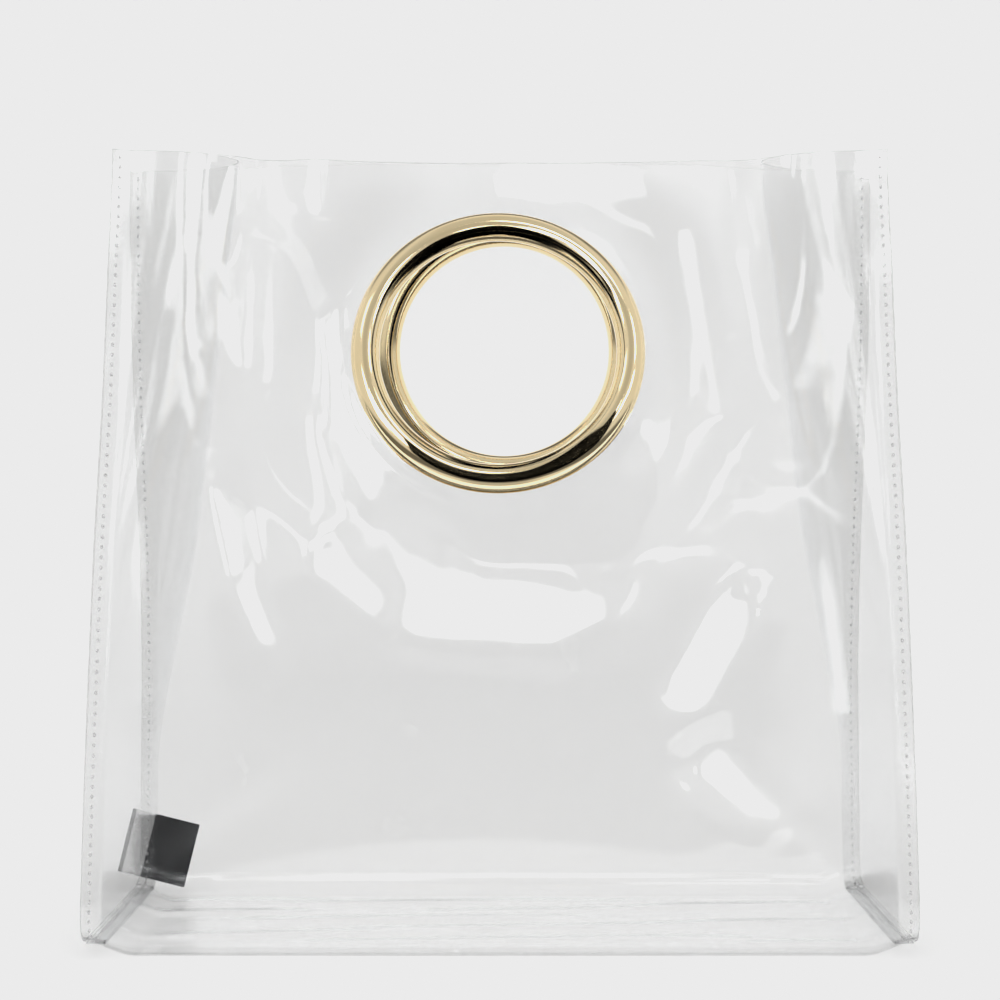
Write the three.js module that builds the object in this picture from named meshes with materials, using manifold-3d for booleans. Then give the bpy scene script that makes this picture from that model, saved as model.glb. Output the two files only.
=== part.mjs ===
import * as THREE from 'three';
import { mergeVertices } from 'three/addons/utils/BufferGeometryUtils.js';
import Module from 'manifold-3d';

const wasm = await Module();
wasm.setup();

// A clear tote bag in millimetres. X runs across the bag, Y from its front to its rear, and Z up.
const FILM = 1.0; // wall of every clear sheet
const GAP = 0.3; // clearance between neighbouring pieces
const PANEL_HALF_WIDTH = 150;
const PANEL_LENGTH = 284; // film from the bottom fold up to the top edge
const BASE_HALF_DEPTH = 58;
const FOLD_RADIUS = 9; // soft fold between a panel and the base
const SEAM_MARGIN = 7; // sewn margin along the side edges
const CORNER_LIFT = 5; // how far the base curls up at its sewn short edges
const LIFT_START = 0.88; // share of the half width where that curl starts
const LIFT_FADE = 70; // height at which the curl is used up

const RING_OUTER = 106;
const RING_TUBE = 10.4;
const GROOVE_FLOOR = 48.7; // radius at the bottom of the groove that takes the film
const FLAT_RADIUS = 62; // the film is flat this far round a ring's middle
const FLAT_FADE = 94; // and has its free shape from here on

// Facet counts: sheet columns, rows in a panel, in a bottom fold and over the base, and ring sides.
const BODY_COLUMNS = 28;
const PANEL_ROWS = 20;
const FOLD_ROWS = 4;
const BASE_ROWS = 6;
const GUSSET_ROWS = 18;
const RING_SIDES = 40;
const HOLE_SIDES = 48;
const HALF_TUBE_SIDES = 6;

const TAG = { width: 28.6, height: 27, thick: 0.8, x: -142.6, z: 19.2, turn: 14 };

// Shape of the bag at a few heights: half width and depth at the side seams, depth at the middle of
// each panel, and how far the side sheets fold in.
const LEVELS = [
  { z: 0, seamX: 150, frontSeam: -58, frontMid: -58, rearMid: 58, rearSeam: 58, foldIn: 0 },
  { z: 50, seamX: 149.3, frontSeam: -56.5, frontMid: -62.5, rearMid: 57.5, rearSeam: 56.5, foldIn: 4 },
  { z: 100, seamX: 148.5, frontSeam: -51.5, frontMid: -67, rearMid: 54, rearSeam: 53.5, foldIn: 13 },
  { z: 150, seamX: 147.7, frontSeam: -45, frontMid: -69.5, rearMid: 49, rearSeam: 43, foldIn: 23 },
  { z: 200, seamX: 147, frontSeam: -34.5, frontMid: -58, rearMid: 44.2, rearSeam: 27.5, foldIn: 29 },
  { z: 250, seamX: 146.2, frontSeam: -28, frontMid: -44.5, rearMid: 39.8, rearSeam: 16.5, foldIn: 34 },
  { z: 296, seamX: 145.4, frontSeam: -23, frontMid: -32, rearMid: 35.8, rearSeam: 11.5, foldIn: 38 },
];

// Soft folds of a panel, each a hump along a line from its start to its end: half width across the
// line, how far it rises outwards (or sinks in, below zero), and the share of that left at its end.
const FRONT_FOLDS = [
  { name: 'left roll', x0: -114, z0: 300, x1: -122, z1: 190, half: 26, rise: 11, endShare: 0.2 },
  { name: 'left valley', x0: -84, z0: 300, x1: -96, z1: 215, half: 23, rise: -9, endShare: 0.1 },
  { name: 'right roll', x0: 116, z0: 300, x1: 122, z1: 215, half: 26, rise: 6, endShare: 0.2 },
  { name: 'right valley', x0: 90, z0: 300, x1: 98, z1: 190, half: 23, rise: -5, endShare: 0.2 },
  { name: 'belly under the ring', x0: -40, z0: 128, x1: 38, z1: 118, half: 26, rise: 4, endShare: 0.7 },
  { name: 'left slant', x0: -104, z0: 170, x1: -84, z1: 100, half: 15, rise: 3.5, endShare: 0.4 },
  { name: 'right slant', x0: 90, z0: 125, x1: 64, z1: 86, half: 18, rise: 4, endShare: 0.6 },
  { name: 'lower right dent', x0: 76, z0: 70, x1: 100, z1: 48, half: 16, rise: -3.5, endShare: 0.5 },
];
const REAR_FOLDS = [
  { name: 'left corner crease', x0: -140, z0: 8, x1: -84, z1: 46, half: 13, rise: -5, endShare: 0.1 },
  { name: 'right corner crease', x0: 140, z0: 8, x1: 78, z1: 44, half: 13, rise: -5, endShare: 0.1 },
  { name: 'left flank', x0: -112, z0: 300, x1: -104, z1: 150, half: 26, rise: 5, endShare: 0.2 },
  { name: 'right flank', x0: 110, z0: 300, x1: 100, z1: 150, half: 26, rise: 5, endShare: 0.2 },
];

// The two panels: the side that they face, their ring's middle and backward lean in degrees, and the
// height of the top edge at its middle and at its corners.
const FRONT = {
  out: -1, seam: 'frontSeam', mid: 'frontMid', folds: FRONT_FOLDS,
  ring: { x: -0.7, y: -53, z: 217.7, lean: 15 }, topMid: 288.5, topCorner: 296,
};
const REAR = {
  out: 1, seam: 'rearSeam', mid: 'rearMid', folds: REAR_FOLDS,
  ring: { x: 1.8, y: 42, z: 224.6, lean: -5 }, topMid: 301, topCorner: 293,
};

const FOLD_START = BASE_HALF_DEPTH - FOLD_RADIUS; // film distance from the base's middle line
const FOLD_END = FOLD_START + FOLD_RADIUS * Math.PI / 2;
const STRIP_END = FOLD_END + PANEL_LENGTH;

const { lerp, smoothstep, degToRad, clamp } = THREE.MathUtils;

const columnNames = Object.keys(LEVELS[0]);
const levelCurve = new THREE.CubicInterpolant(
  LEVELS.map((row) => row.z),
  LEVELS.flatMap((row) => columnNames.map((name) => row[name])),
  columnNames.length,
);

function level(z) {
  const values = levelCurve.evaluate(z);
  return Object.fromEntries(columnNames.map((name, i) => [name, values[i]]));
}

function foldRise(folds, x, z) {
  let rise = 0;
  for (const fold of folds) {
    const dx = fold.x1 - fold.x0;
    const dz = fold.z1 - fold.z0;
    const along = clamp(((x - fold.x0) * dx + (z - fold.z0) * dz) / (dx * dx + dz * dz), 0, 1);
    const away = Math.hypot(x - fold.x0 - along * dx, z - fold.z0 - along * dz) / fold.half;
    const hump = away < 1 ? 0.5 + 0.5 * Math.cos(Math.PI * away) : 0;
    rise += fold.rise * lerp(1, fold.endShare, along) * hump;
  }
  return rise;
}

// Depth of a panel's middle surface at a place across it (from -1 to 1) and at a height.
function panelDepth(panel, across, z) {
  const row = level(z);
  const x = across * row.seamX;
  const edgeFade = 1 - across ** 4;
  const bow = (row[panel.mid] - row[panel.seam]) * (1 - across * across);
  const free = row[panel.seam] + bow + panel.out * foldRise(panel.folds, x, z) * edgeFade;
  const { ring } = panel;
  const flat = ring.y + (z - ring.z) * Math.tan(degToRad(ring.lean));
  return lerp(flat, free, smoothstep(Math.hypot(x - ring.x, z - ring.z), FLAT_RADIUS, FLAT_FADE));
}

// Middle surface of the body sheet: across it, and along it as film distance from the base's middle.
function bodyPoint(across, along) {
  const panel = along < 0 ? FRONT : REAR;
  const distance = Math.abs(along);
  const foldDepth = Math.abs(panelDepth(panel, across, FOLD_RADIUS)) - FOLD_RADIUS;
  const point = new THREE.Vector3();
  if (distance <= FOLD_START) {
    point.set(0, foldDepth * distance / FOLD_START, 0);
  } else if (distance <= FOLD_END) {
    const turn = (distance - FOLD_START) / FOLD_RADIUS;
    point.set(0, foldDepth + FOLD_RADIUS * Math.sin(turn), FOLD_RADIUS * (1 - Math.cos(turn)));
  } else {
    const top = lerp(panel.topMid, panel.topCorner, across * across);
    const z = lerp(FOLD_RADIUS, top, (distance - FOLD_END) / PANEL_LENGTH);
    point.set(0, Math.abs(panelDepth(panel, across, z)), z);
  }
  const lift = smoothstep(Math.abs(across), LIFT_START, 1) * (1 - smoothstep(point.z, 0, LIFT_FADE));
  point.x = across * level(point.z).seamX;
  point.y *= panel.out;
  point.z += FILM / 2 + CORNER_LIFT * lift;
  return point;
}

function normalAt(surface, u, v) {
  const step = 1e-3;
  const du = surface(u + step, v).sub(surface(u - step, v));
  const dv = surface(u, v + step).sub(surface(u, v - step));
  return du.cross(dv).normalize();
}

// A thin box with one vertex row for each station, bent onto a surface.
function bentSheet(surface, stationsU, stationsV) {
  const countU = stationsU.length - 1;
  const countV = stationsV.length - 1;
  const geometry = new THREE.BoxGeometry(1, 1, FILM, countU, countV, 1);
  const position = geometry.attributes.position;
  for (let i = 0; i < position.count; i += 1) {
    const u = stationsU[Math.round((position.getX(i) + 0.5) * countU)];
    const v = stationsV[Math.round((position.getY(i) + 0.5) * countV)];
    const point = surface(u, v).addScaledVector(normalAt(surface, u, v), position.getZ(i));
    position.setXYZ(i, point.x, point.y, point.z);
  }
  return closedMesh(geometry);
}

function closedMesh(geometry) {
  geometry.deleteAttribute('normal');
  geometry.deleteAttribute('uv');
  return mergeVertices(geometry, 1e-4);
}

function steps(from, to, count) {
  return Array.from({ length: count }, (_, i) => lerp(from, to, i / count));
}

function toSolid(geometry) {
  return new wasm.Manifold(new wasm.Mesh({
    numProp: 3,
    vertProperties: new Float32Array(geometry.attributes.position.array),
    triVerts: new Uint32Array(geometry.index.array),
  }));
}

function fromSolid(solid) {
  const mesh = solid.getMesh();
  const geometry = new THREE.BufferGeometry();
  geometry.setAttribute('position', new THREE.BufferAttribute(new Float32Array(mesh.vertProperties), 3));
  geometry.setIndex(new THREE.BufferAttribute(new Uint32Array(mesh.triVerts), 1));
  return geometry;
}

function ringPlacement(ring) {
  const turn = new THREE.Matrix4().makeRotationX(-degToRad(ring.lean));
  return turn.setPosition(ring.x, ring.y, ring.z + FILM / 2);
}

function bodySheet() {
  const acrossStations = [...steps(-1, 1, BODY_COLUMNS), 1];
  const alongStations = [
    ...steps(-STRIP_END, -FOLD_END, PANEL_ROWS),
    ...steps(-FOLD_END, -FOLD_START, FOLD_ROWS),
    ...steps(-FOLD_START, FOLD_START, BASE_ROWS),
    ...steps(FOLD_START, FOLD_END, FOLD_ROWS),
    ...steps(FOLD_END, STRIP_END, PANEL_ROWS),
    STRIP_END,
  ];
  const holeRadius = GROOVE_FLOOR + GAP;
  let solid = toSolid(bentSheet(bodyPoint, acrossStations, alongStations));
  for (const { ring } of [FRONT, REAR]) {
    const hole = closedMesh(new THREE.CylinderGeometry(holeRadius, holeRadius, RING_TUBE, HOLE_SIDES));
    solid = solid.subtract(toSolid(hole.applyMatrix4(ringPlacement(ring))));
  }
  return fromSolid(solid);
}

// Middle surface of a side sheet. Its outer columns lie behind the body sheet's margins, and between
// them it swings in towards the middle of the mouth. The column number runs from front to rear.
const MARGIN_COLUMNS = 2;
const SWING_COLUMNS = 8;
const SWING_FULLNESS = 0.6; // how far the folded-in part bellies out in front and behind

function marginPoint(side, end, inset, distance) {
  const across = side * (1 - inset / PANEL_HALF_WIDTH);
  const inward = normalAt(bodyPoint, across, end * distance);
  return bodyPoint(across, end * distance).addScaledVector(inward, FILM + GAP);
}

function gussetPoint(side, column, distance) {
  const last = 2 * MARGIN_COLUMNS + SWING_COLUMNS;
  if (column <= MARGIN_COLUMNS) {
    return marginPoint(side, -1, SEAM_MARGIN * column / MARGIN_COLUMNS, distance);
  }
  if (column >= last - MARGIN_COLUMNS) {
    return marginPoint(side, 1, SEAM_MARGIN * (last - column) / MARGIN_COLUMNS, distance);
  }
  const front = marginPoint(side, -1, SEAM_MARGIN, distance);
  const rear = marginPoint(side, 1, SEAM_MARGIN, distance);
  const swing = lerp(-1, 1, (column - MARGIN_COLUMNS) / SWING_COLUMNS);
  const { foldIn } = level(front.z);
  const inwardShare = 1 - swing * swing;
  const fullness = SWING_FULLNESS * foldIn / LEVELS.at(-1).foldIn;
  const point = front.clone().lerp(rear, 0.5 + 0.5 * swing * (1 + fullness * inwardShare));
  point.x -= side * foldIn * inwardShare;
  return point;
}

function gusset(side) {
  const count = 2 * MARGIN_COLUMNS + SWING_COLUMNS;
  const columns = [...steps(0, count, count), count];
  const distances = [
    ...steps(FOLD_START, FOLD_END, FOLD_ROWS),
    ...steps(FOLD_END, STRIP_END, GUSSET_ROWS),
    STRIP_END,
  ];
  const surface = (column, distance) => gussetPoint(side, column, distance);
  return bentSheet(surface, columns, distances);
}

// A round tube bent into a ring, with a groove round the outside for the edge of the film.
function ringGeometry() {
  const tube = RING_TUBE / 2;
  const middle = RING_OUTER / 2 - tube;
  const grooveHalf = FILM / 2 + GAP;
  const lipTurn = Math.asin(grooveHalf / tube);
  const outline = new THREE.Path();
  outline.moveTo(GROOVE_FLOOR, -grooveHalf);
  outline.lineTo(GROOVE_FLOOR, grooveHalf);
  outline.absarc(middle, 0, tube, lipTurn, 2 * Math.PI - lipTurn);
  outline.closePath();
  return closedMesh(new THREE.LatheGeometry(outline.getPoints(HALF_TUBE_SIDES), RING_SIDES));
}

function tagGeometry() {
  return new THREE.BoxGeometry(TAG.width, TAG.thick, TAG.height);
}

const clearFilm = { color: 0xe6eaec, roughness: 0.06, metalness: 0, transparent: true, opacity: 0.3 };
const goldMetal = { color: 0xe3c383, roughness: 0.12, metalness: 1 };
const blackTag = { color: 0x17181a, roughness: 0.35, metalness: 0 };

function piece(name, geometry, look) {
  const mesh = new THREE.Mesh(geometry, new THREE.MeshStandardMaterial(look));
  mesh.name = name;
  return mesh;
}

const bag = new THREE.Group();
bag.add(piece('body_sheet', bodySheet(), clearFilm));
bag.add(piece('left_gusset', gusset(-1), clearFilm));
bag.add(piece('right_gusset', gusset(1), clearFilm));

for (const [name, { ring }] of [['front_ring', FRONT], ['rear_ring', REAR]]) {
  const handle = piece(name, ringGeometry(), goldMetal);
  handle.applyMatrix4(ringPlacement(ring));
  bag.add(handle);
}

const tag = piece('tag', tagGeometry(), blackTag);
tag.position.set(TAG.x, BASE_HALF_DEPTH + FILM / 2 + GAP + TAG.thick / 2, TAG.z);
tag.rotation.y = degToRad(TAG.turn);
bag.add(tag);

// The origin is the middle of the bag's own box, on the floor.
bag.updateMatrixWorld(true);
const middle = new THREE.Box3().setFromObject(bag, true).getCenter(new THREE.Vector3());
bag.position.set(-middle.x, -middle.y, 0);

export default bag;
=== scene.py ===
# %% [markdown]
# A clear tote bag with gold ring handles. One long strip of clear film makes the front, the base and the
# rear, two more sheets close the sides and fold inwards, and a polished ring sits in each big panel. The
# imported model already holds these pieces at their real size, so this lesson only gives them their looks:
# thin glossy film with real folds, turned metal, thread and a small tag, in a bright studio.

# %% The fixed frame
import math

import bmesh
import bpy
import numpy as np
from mathutils import Matrix, Vector, noise


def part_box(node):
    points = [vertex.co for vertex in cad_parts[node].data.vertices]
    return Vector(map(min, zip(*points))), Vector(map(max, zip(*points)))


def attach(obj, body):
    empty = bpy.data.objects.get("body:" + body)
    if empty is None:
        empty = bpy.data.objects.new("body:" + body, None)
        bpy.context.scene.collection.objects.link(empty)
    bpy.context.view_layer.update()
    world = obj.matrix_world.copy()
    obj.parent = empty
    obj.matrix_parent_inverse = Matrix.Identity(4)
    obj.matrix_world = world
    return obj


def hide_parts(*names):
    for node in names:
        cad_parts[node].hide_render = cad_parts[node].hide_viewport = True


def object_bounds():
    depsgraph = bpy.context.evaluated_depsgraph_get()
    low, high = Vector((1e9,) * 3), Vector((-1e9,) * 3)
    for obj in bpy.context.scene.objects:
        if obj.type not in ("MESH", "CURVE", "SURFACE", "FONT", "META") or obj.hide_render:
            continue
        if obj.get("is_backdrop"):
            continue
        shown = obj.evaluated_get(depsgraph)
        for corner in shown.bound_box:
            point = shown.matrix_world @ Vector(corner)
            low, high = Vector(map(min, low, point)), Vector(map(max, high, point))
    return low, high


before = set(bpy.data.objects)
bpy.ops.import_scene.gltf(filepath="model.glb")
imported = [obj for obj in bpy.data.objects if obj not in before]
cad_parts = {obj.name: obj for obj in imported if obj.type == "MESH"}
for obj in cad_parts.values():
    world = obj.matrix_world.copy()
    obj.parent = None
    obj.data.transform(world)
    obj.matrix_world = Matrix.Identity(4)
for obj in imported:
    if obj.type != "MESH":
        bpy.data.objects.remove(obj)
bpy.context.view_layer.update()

# %% [markdown]
# The pattern of the bag is easiest to write in millimetres from the middle of its base, while the frame is
# in metres from the middle of its box. The front ring is in both, so the step from one to the other is read
# from it.

# %% From the pattern's millimetres to the frame
MM = 0.001
FRONT_RING_MIDDLE = Vector((-0.7, -53.0, 218.2))

ring_low, ring_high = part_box("front_ring")
shift = (ring_low + ring_high) / 2 - FRONT_RING_MIDDLE * MM
shift.z = 0


def place(x, y, z):
    return Vector((x, y, z)) * MM + shift


print("shift", [round(v, 5) for v in shift])

# %% [markdown]
# The camera stands level with the middle of the bag, straight in front of it. Its lens is worked out from
# the picture: a length as far away as the lens is long in pixels covers one pixel per unit. A high-key
# photograph burns out to paper white, so a curve holds every bright tone at the same light grey.

# %% Camera and paper white
EYE = Vector((0, -748, 164.5))
PICTURE_SIDE = 1000
LENS_IN_PIXELS = 1932
SENSOR = 36
PAPER_WHITE = 0.831

scene = bpy.context.scene
camera_data = bpy.data.cameras.new("camera")
camera_data.sensor_width = SENSOR
camera_data.lens = SENSOR * LENS_IN_PIXELS / PICTURE_SIDE
camera = bpy.data.objects.new("camera", camera_data)
camera.location = place(*EYE)
camera.rotation_euler = (math.radians(90), 0, 0)
scene.collection.objects.link(camera)
scene.camera = camera

scene.view_settings.view_transform = "Standard"
scene.view_settings.use_curve_mapping = True
response = scene.view_settings.curve_mapping
response.extend = "HORIZONTAL"
response.curves[3].points[-1].location = (1.0, PAPER_WHITE)
response.update()
scene.cycles.transparent_max_bounces = 32
scene.cycles.max_bounces = 4
scene.cycles.diffuse_bounces = 2
scene.cycles.glossy_bounces = 3
scene.cycles.adaptive_threshold = 0.15
print("lens", round(camera_data.lens, 2), "mm")

# %% [markdown]
# Finishes are node trees. Writing them as sums is shorter than placing nodes one by one, so a wire stands
# for the output of a node, and adding or multiplying wires adds the Math nodes. Every other node comes from
# one call.

# %% Wires and boards
class Wire:
    def __init__(self, board, socket):
        self.board = board
        self.socket = socket

    def math(self, operation, first, second):
        return self.board.add("ShaderNodeMath", {"operation": operation}, {0: first, 1: second})

    def __add__(self, other):
        return self.math("ADD", self, other)

    def __sub__(self, other):
        return self.math("SUBTRACT", self, other)

    def __rsub__(self, other):
        return self.math("SUBTRACT", other, self)

    def __mul__(self, other):
        return self.math("MULTIPLY", self, other)

    def __pow__(self, other):
        return self.math("POWER", self, other)

    __radd__ = __add__
    __rmul__ = __mul__


class Board:
    def __init__(self, owner):
        owner.use_nodes = True
        self.tree = owner.node_tree
        self.tree.nodes.clear()

    def add(self, kind, settings=None, sockets=None, out=0):
        node = self.tree.nodes.new(kind)
        for name, value in (settings or {}).items():
            if name == "stops":
                for stop, (position, color) in zip(node.color_ramp.elements, value):
                    stop.position, stop.color = position, color
            else:
                setattr(node, name, value)
        for key, value in (sockets or {}).items():
            if isinstance(value, Wire):
                self.tree.links.new(value.socket, node.inputs[key])
            else:
                node.inputs[key].default_value = value
        return Wire(self, node.outputs[out]) if node.outputs else None

    def ease(self, value, low, high):
        """0 below low, 1 above high, and smooth between them."""
        return self.add(
            "ShaderNodeMapRange", {"interpolation_type": "SMOOTHSTEP"},
            {"Value": value, "From Min": low, "From Max": high},
        )

    def mottle(self, scale, detail, **more):
        """Noise in the piece's own coordinates."""
        spot = self.add("ShaderNodeTexCoord", out="Object")
        return self.add("ShaderNodeTexNoise", {}, {"Vector": spot, "Scale": scale, "Detail": detail, **more})

    def surface(self, shader):
        self.add("ShaderNodeOutputMaterial", {}, {"Surface": shader})


def new_finish(name):
    material = bpy.data.materials.new(name)
    return material, Board(material)


def grey(level):
    return (level, level, level, 1.0)


print("helpers:", Wire.__name__, Board.__name__)

# %% [markdown]
# The studio is a white paper sweep under even light: a floor that curves up far behind the bag, so no
# horizon shows. The paper's colour is a little darker straight behind the bag, a patch of painted shade. The
# camera sees white all round, but what the gloss mirrors is a real studio: a bright backdrop behind, with a
# dark shelf high up that draws lines in the rear ring, and a dimmer room on the camera's side, dark just
# below eye level.

# %% Sweep and surroundings
PAPER_LIGHT = 1.26
PAPER_COLOR = 0.9
SHADE_BEHIND = 0.96
SWEEP_BACK = 1.6
SWEEP_RADIUS = 0.5
SWEEP_HALF_WIDTH = 4.0
ROOM_FRONT = 0.6
ROOM_SIDES = 0.3
ROOM_CEILING = 0.1
ROOM_BACK = 1.15
LOW_DARKNESS = 0.8
SHELF_DARKNESS = 0.9
SEEN_WHITE = 1.1
SHADE_MIDDLE = (0, SWEEP_BACK, 0.34)
SHADE_EDGE = (0.12, 0.34)
SWEEP_FLAT = 6.0
SWEEP_WALL = 4.0


def sweep_paper():
    material, board = new_finish("sweep_paper")
    spot = board.add("ShaderNodeTexCoord", out="Object")
    behind = board.add(
        "ShaderNodeVectorMath", {"operation": "DISTANCE"},
        {0: spot, 1: SHADE_MIDDLE}, out="Value",
    )
    # Painted shade: the paper's colour is darker round a spot behind the bag.
    tone = PAPER_COLOR * (SHADE_BEHIND + (1 - SHADE_BEHIND) * board.ease(behind, *SHADE_EDGE))
    paper = board.add(
        "ShaderNodeBsdfPrincipled", {}, {"Base Color": tone, "Roughness": 1.0, "Specular IOR Level": 0.0}
    )
    board.surface(paper)
    return material


def add_object(name, mesh, *materials):
    data = bpy.data.meshes.new(name)
    mesh.to_mesh(data)
    mesh.free()
    for material in materials:
        data.materials.append(material)
    piece = bpy.data.objects.new(name, data)
    scene.collection.objects.link(piece)
    return piece


def sweep():
    """A strip of paper: flat, round the bend and up, drawn as one edge path and then widened."""
    mesh = bmesh.new()
    bmesh.ops.create_grid(mesh, x_segments=1, y_segments=40, size=1)
    flat, bend, wall = SWEEP_FLAT, SWEEP_RADIUS * math.pi / 2, SWEEP_WALL
    start = SWEEP_BACK - SWEEP_RADIUS - flat
    for vert in mesh.verts:
        share = (vert.co.y + 1) / 2
        along = np.interp(share, (0, 0.1, 0.9, 1), (0, flat, flat + bend, flat + bend + wall))
        turn = min(max(along - flat, 0), bend) / SWEEP_RADIUS
        rest = max(along - flat - bend, 0)
        y = start + min(along, flat) + SWEEP_RADIUS * math.sin(turn)
        vert.co = (vert.co.x * SWEEP_HALF_WIDTH, y, SWEEP_RADIUS * (1 - math.cos(turn)) + rest)
    for face in mesh.faces:
        face.smooth = True
    return add_object("sweep", mesh, sweep_paper())


def surroundings():
    world = bpy.data.worlds.new("studio")
    scene.world = world
    board = Board(world)
    seen = board.add("ShaderNodeLightPath", out="Is Camera Ray")
    mirrored = board.add("ShaderNodeLightPath", out="Is Glossy Ray")
    way = board.add("ShaderNodeTexCoord", out="Generated")
    right, depth, height = [board.add("ShaderNodeSeparateXYZ", {}, {0: way}, out=axis) for axis in "XYZ"]
    back = board.ease(depth, -0.15, 0.45)
    low = board.ease(height, -0.02, -0.2) * (1 - board.ease(height, -0.5, -0.62))
    up = board.ease(height, 0.45, 0.9)
    side = board.ease(right * right, 0.02, 0.16)
    front = (ROOM_FRONT + ROOM_SIDES * side + ROOM_CEILING * up * (1 - side)) * (1 - LOW_DARKNESS * low)
    dark_shelf = board.ease(height, 0.6, 0.7) * (1 - board.ease(height, 0.86, 0.94))
    room = front * (1 - back) + ROOM_BACK * (1 - SHELF_DARKNESS * dark_shelf) * back
    strength = seen * SEEN_WHITE + mirrored * room + (1 - seen - mirrored) * PAPER_LIGHT
    light = board.add("ShaderNodeBackground", {}, {"Color": grey(1.0), "Strength": strength})
    board.add("ShaderNodeOutputWorld", {}, {"Surface": light})


surroundings()
floor = sweep()
floor.visible_glossy = False
floor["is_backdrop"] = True
print("sweep of", len(floor.data.polygons), "faces")

# %% [markdown]
# Clear film is seen by what it mirrors. Small lamps all round the camera give the crisp white glints, and
# the table under the bag shines as far as its front edge. All of these are there for gloss alone: neither
# the camera nor the paper sees them. A lamp is set by the angles at which it stands and the half angles
# that it fills.

# %% Lamps and table
LIT_SPOT = Vector((0, -50, 165))
LAMP_FAR = 1500
TABLE_HALF_WIDTH = 1500
TABLE_HEIGHT = -0.5
# Columns: turn, height, half width and half height in degrees, and glow.
LAMPS = {
    "front_lamp": (0, 4, 9, 8, 4.0),
    "tall_lamp": (-8, 19, 3.5, 10, 5.0),
    "high_lamp": (11, 46, 8, 4, 4.0),
    "left_lamp": (-20, 20, 5, 7, 7.0),
    "far_left_lamp": (-36, 18, 5, 9, 5.0),
    "right_lamp": (34, 18, 3.5, 3.5, 6.0),
    "low_right_lamp": (27, 3, 4, 4, 7.0),
    "far_right_lamp": (42, 21, 4, 4, 6.0),
    "upper_left_lamp": (-45, 40, 8, 5, 2.2),
    "upper_right_lamp": (38, 35, 4, 5, 5.0),
    "small_lamp": (15, 25, 3, 3, 7.0),
    "plain_card": (7, 21, 5, 4, 0.65),
}
# Columns: part of the table, where it starts and ends behind the middle of the bag, and how bright it is.
TABLE = (("front_table", -170, -58, 1.6), ("near_table", -58, 90, 0.15), ("far_table", 90, 2500, 1.08))


def glow(name, level):
    material, board = new_finish(name)
    light = board.add("ShaderNodeEmission", {}, {"Color": grey(1.0), "Strength": level})
    board.surface(light)
    return material


def for_gloss_only(card):
    """Only glossy surfaces see this piece of the studio."""
    card.visible_camera = False
    card.visible_diffuse = False
    card.visible_transmission = False
    card.visible_shadow = False
    card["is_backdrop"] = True


def flat_card(name, corners, material):
    mesh = bmesh.new()
    mesh.faces.new([mesh.verts.new(corner) for corner in corners])
    for_gloss_only(add_object(name, mesh, material))


def lamp_axes(name):
    """Middle of a lamp that faces the bag, and its half width and half height as directions."""
    turn, height, *halves = [math.radians(angle) for angle in LAMPS[name][:4]]
    way = Vector((math.sin(turn) * math.cos(height), -math.cos(turn) * math.cos(height), math.sin(height)))
    across = Vector((math.cos(turn), math.sin(turn), 0))
    high = across.cross(-way)
    half_wide, half_high = [LAMP_FAR * math.tan(half) for half in halves]
    return LIT_SPOT + way * LAMP_FAR, across * half_wide, high * half_high


for name, (*_, bright) in LAMPS.items():
    middle, across, high = lamp_axes(name)
    signs = ((-1, -1), (1, -1), (1, 1), (-1, 1))
    corners = [place(*(middle + across * a + high * b)) for a, b in signs]
    flat_card(name, corners, glow(name, bright))

for name, front, back, bright in TABLE:
    sides = ((-1, front), (1, front), (1, back), (-1, back))
    corners = [place(side * TABLE_HALF_WIDTH, y, TABLE_HEIGHT) for side, y in sides]
    flat_card(name, corners, glow(name, bright))
print("lamps:", ", ".join(LAMPS))

# %% [markdown]
# The shape of the bag is written down once, as a table of heights: how wide the bag is there, how deep its
# panels are at the seams and in the middle, and how far the sides fold in. A smooth curve runs through each
# column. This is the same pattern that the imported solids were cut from, so the thin film drawn here lies
# inside them.

# %% Pattern of the bag
FILM = 0.5
SEAM_GAP = 0.2
PANEL_HALF_WIDTH = 150
PANEL_LENGTH = 284
BASE_HALF_DEPTH = 58
FOLD_RADIUS = 9
SEAM_MARGIN = 7
CORNER_LIFT = 5
LIFT_START = 0.88
LIFT_FADE = 70
FLAT_RADIUS = 62
FLAT_FADE = 94
FOLD_START = BASE_HALF_DEPTH - FOLD_RADIUS
FOLD_END = FOLD_START + FOLD_RADIUS * math.pi / 2
STRIP_END = FOLD_END + PANEL_LENGTH

# Columns: height, half width, front seam, front middle, rear middle, rear seam, fold in.
HEIGHT, SEAM_X, FRONT_SEAM, FRONT_MID, REAR_MID, REAR_SEAM, FOLD_IN = range(7)
LEVELS = np.array([
    (0, 150.0, -58.0, -58.0, 58.0, 58.0, 0),
    (50, 149.3, -56.5, -62.5, 57.5, 56.5, 4),
    (100, 148.5, -51.5, -67.0, 54.0, 53.5, 13),
    (150, 147.7, -45.0, -69.5, 49.0, 43.0, 23),
    (200, 147.0, -34.5, -58.0, 44.2, 27.5, 29),
    (250, 146.2, -28.0, -44.5, 39.8, 16.5, 34),
    (296, 145.4, -23.0, -32.0, 35.8, 11.5, 38),
])
level_slopes = np.zeros_like(LEVELS)
level_slopes[1:-1] = (LEVELS[2:] - LEVELS[:-2]) / (LEVELS[2:, :1] - LEVELS[:-2, :1])


def ease(value, low, high):
    share = np.clip((value - low) / (high - low), 0, 1)
    return share * share * (3 - 2 * share)


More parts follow.
